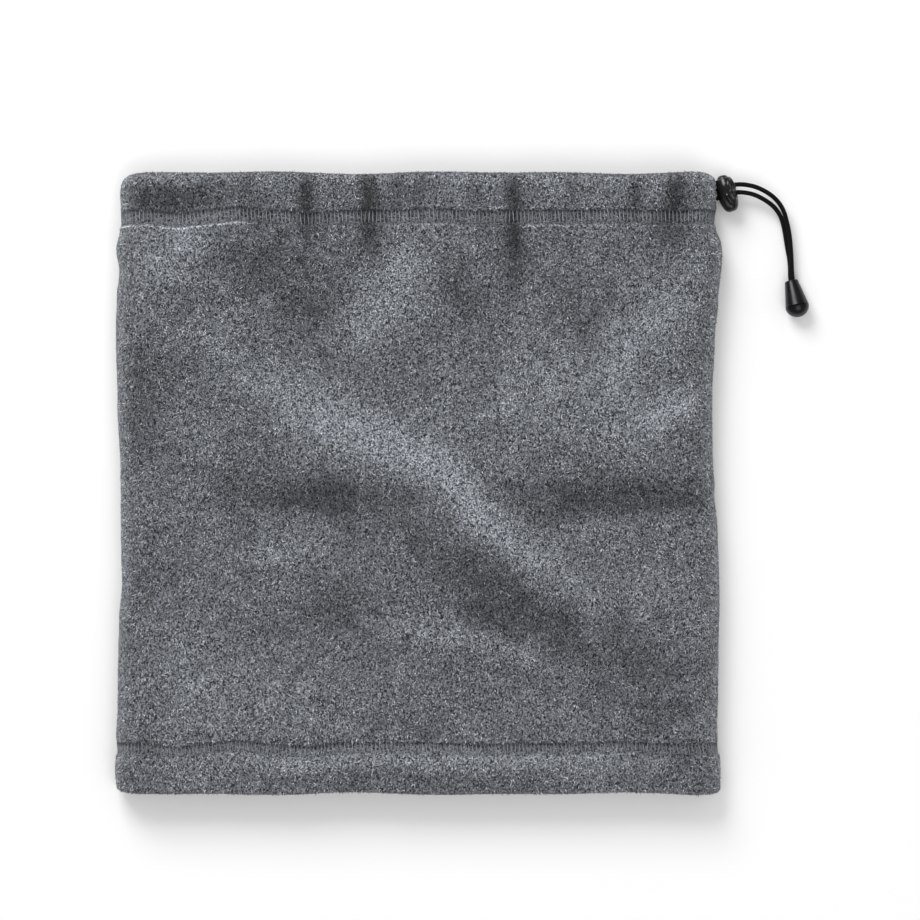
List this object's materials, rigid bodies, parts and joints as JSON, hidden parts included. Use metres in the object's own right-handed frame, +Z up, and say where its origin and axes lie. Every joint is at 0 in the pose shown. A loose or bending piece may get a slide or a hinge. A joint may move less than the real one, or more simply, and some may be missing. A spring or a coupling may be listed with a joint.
{
  "type": "neck gaiter",
  "caption": "Fleece neck gaiter lying flat, sewn as a tube, with an elastic drawcord in its top hem, a spring cord lock and a bell-shaped cord end",
  "frame": {"origin": "middle of the tube's underside, on the table, measured without the free cord and what is on it", "axes": "+X across the tube towards the side with the cord lock, +Y up the neck towards the drawcord hem, +Z up from the table"},
  "size_m": [0.2985, 0.2668, 0.017],
  "materials": {
    "fleece": "matte",
    "thread": "matte",
    "label": "satin",
    "cord": "satin",
    "lock_plastic": "satin",
    "bell_plastic": "gloss",
    "spring_steel": "satin"
  },
  "bodies": {
    "gaiter": {"fleece_panel": "fleece", "top_hem_stitching": "thread", "bottom_hem_stitching": "thread", "back_seam_stitching": "thread", "buttonhole_binding": "thread", "care_label": "label", "drawcord_loop": "cord", "tail_strand_outer": "cord", "tail_strand_inner": "cord"},
    "cord_lock": {"cord_lock_body": "lock_plastic", "cord_lock_spring": "spring_steel"},
    "lock_button": {"cord_lock_plunger": "lock_plastic"},
    "cord_end": {"cord_end_shell": "bell_plastic", "cord_end_cap": "bell_plastic", "cord_knot": "cord"}
  },
  "joints": [
    {"name": "lock_travel", "type": "hinge", "parent": "gaiter", "child": "cord_lock", "pos_m": [0.1384, 0.1069, 0.0061], "axis": [0, 0, -1], "range_deg": [0, 45]},
    {"name": "button_press", "type": "slide", "parent": "cord_lock", "child": "lock_button", "axis": [0.289, -0.9573, 0], "range_m": [0, 0.0016], "stiffness_N_per_m": 400, "springref_m": -0.002, "deforming": ["cord_lock_spring"]},
    {"name": "cord_end_pull", "type": "slide", "parent": "gaiter", "child": "cord_end", "axis": [0.2079, -0.9781, 0], "range_m": [0, 0.015], "stiffness_N_per_m": 120, "deforming": ["tail_strand_outer", "tail_strand_inner"]}
  ]
}
